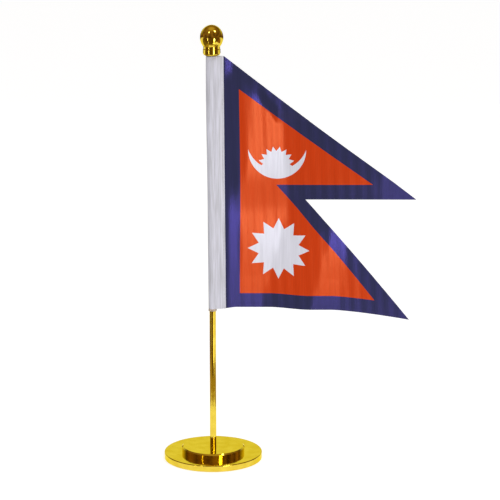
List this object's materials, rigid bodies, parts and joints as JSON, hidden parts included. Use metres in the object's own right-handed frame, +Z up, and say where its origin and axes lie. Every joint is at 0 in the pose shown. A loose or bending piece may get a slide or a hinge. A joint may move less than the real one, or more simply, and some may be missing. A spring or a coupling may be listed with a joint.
{
  "type": "desk flag stand",
  "caption": "Desk flag stand: a round two-tier weighted base, a slim tube pole with a screw-on ball finial, and a double-pennon flag whose sleeve turns on the pole above a stop ring.",
  "frame": {"origin": "centre of the base's underside, on the table, on the pole's axis", "axes": "+Z up along the pole; +X the way the flag flies; -Y the flag's front face"},
  "size_m": [0.1782, 0.07, 0.3114],
  "materials": {
    "gold_plating": "mirror-polished gold plating",
    "steel": "zinc-plated",
    "turned_brass": "turned, bare",
    "felt": "pressed felt",
    "clear_silicone": "translucent",
    "printed_satin": "printed satin, red and navy",
    "white_satin": "satin",
    "white_thread": "twisted thread"
  },
  "bodies": {
    "base": {"base_pad": "felt", "base_lower_tier": "gold_plating", "base_weight": "steel", "base_upper_tier": "gold_plating", "pole_socket": "turned_brass", "socket_washer": "steel", "socket_nut": "steel"},
    "pole": {"pole_tube": "gold_plating", "pole_foot_stud": "turned_brass", "pole_top_stud": "turned_brass"},
    "finial": {"finial_collar": "gold_plating", "finial_ball": "gold_plating"},
    "ring": {"sleeve_stop_ring": "clear_silicone"},
    "flag": {"flag_cloth": "printed_satin", "flag_sleeve": "white_satin", "hoist_stitching": "white_thread"}
  },
  "joints": [
    {"name": "pole_lift", "type": "slide", "parent": "base", "child": "pole", "axis": [0, 0, 1], "range_m": [0, 0.03]},
    {"name": "finial_lift", "type": "slide", "parent": "pole", "child": "finial", "axis": [0, 0, 1], "range_m": [0, 0.02]},
    {"name": "ring_slide", "type": "slide", "parent": "pole", "child": "ring", "axis": [0, 0, -1], "range_m": [0, 0.095]},
    {"name": "flag_swivel", "type": "hinge", "parent": "ring", "child": "flag", "pos_m": [0, 0, 0.1102], "axis": [0, 0, 1], "continuous": true}
  ]
}
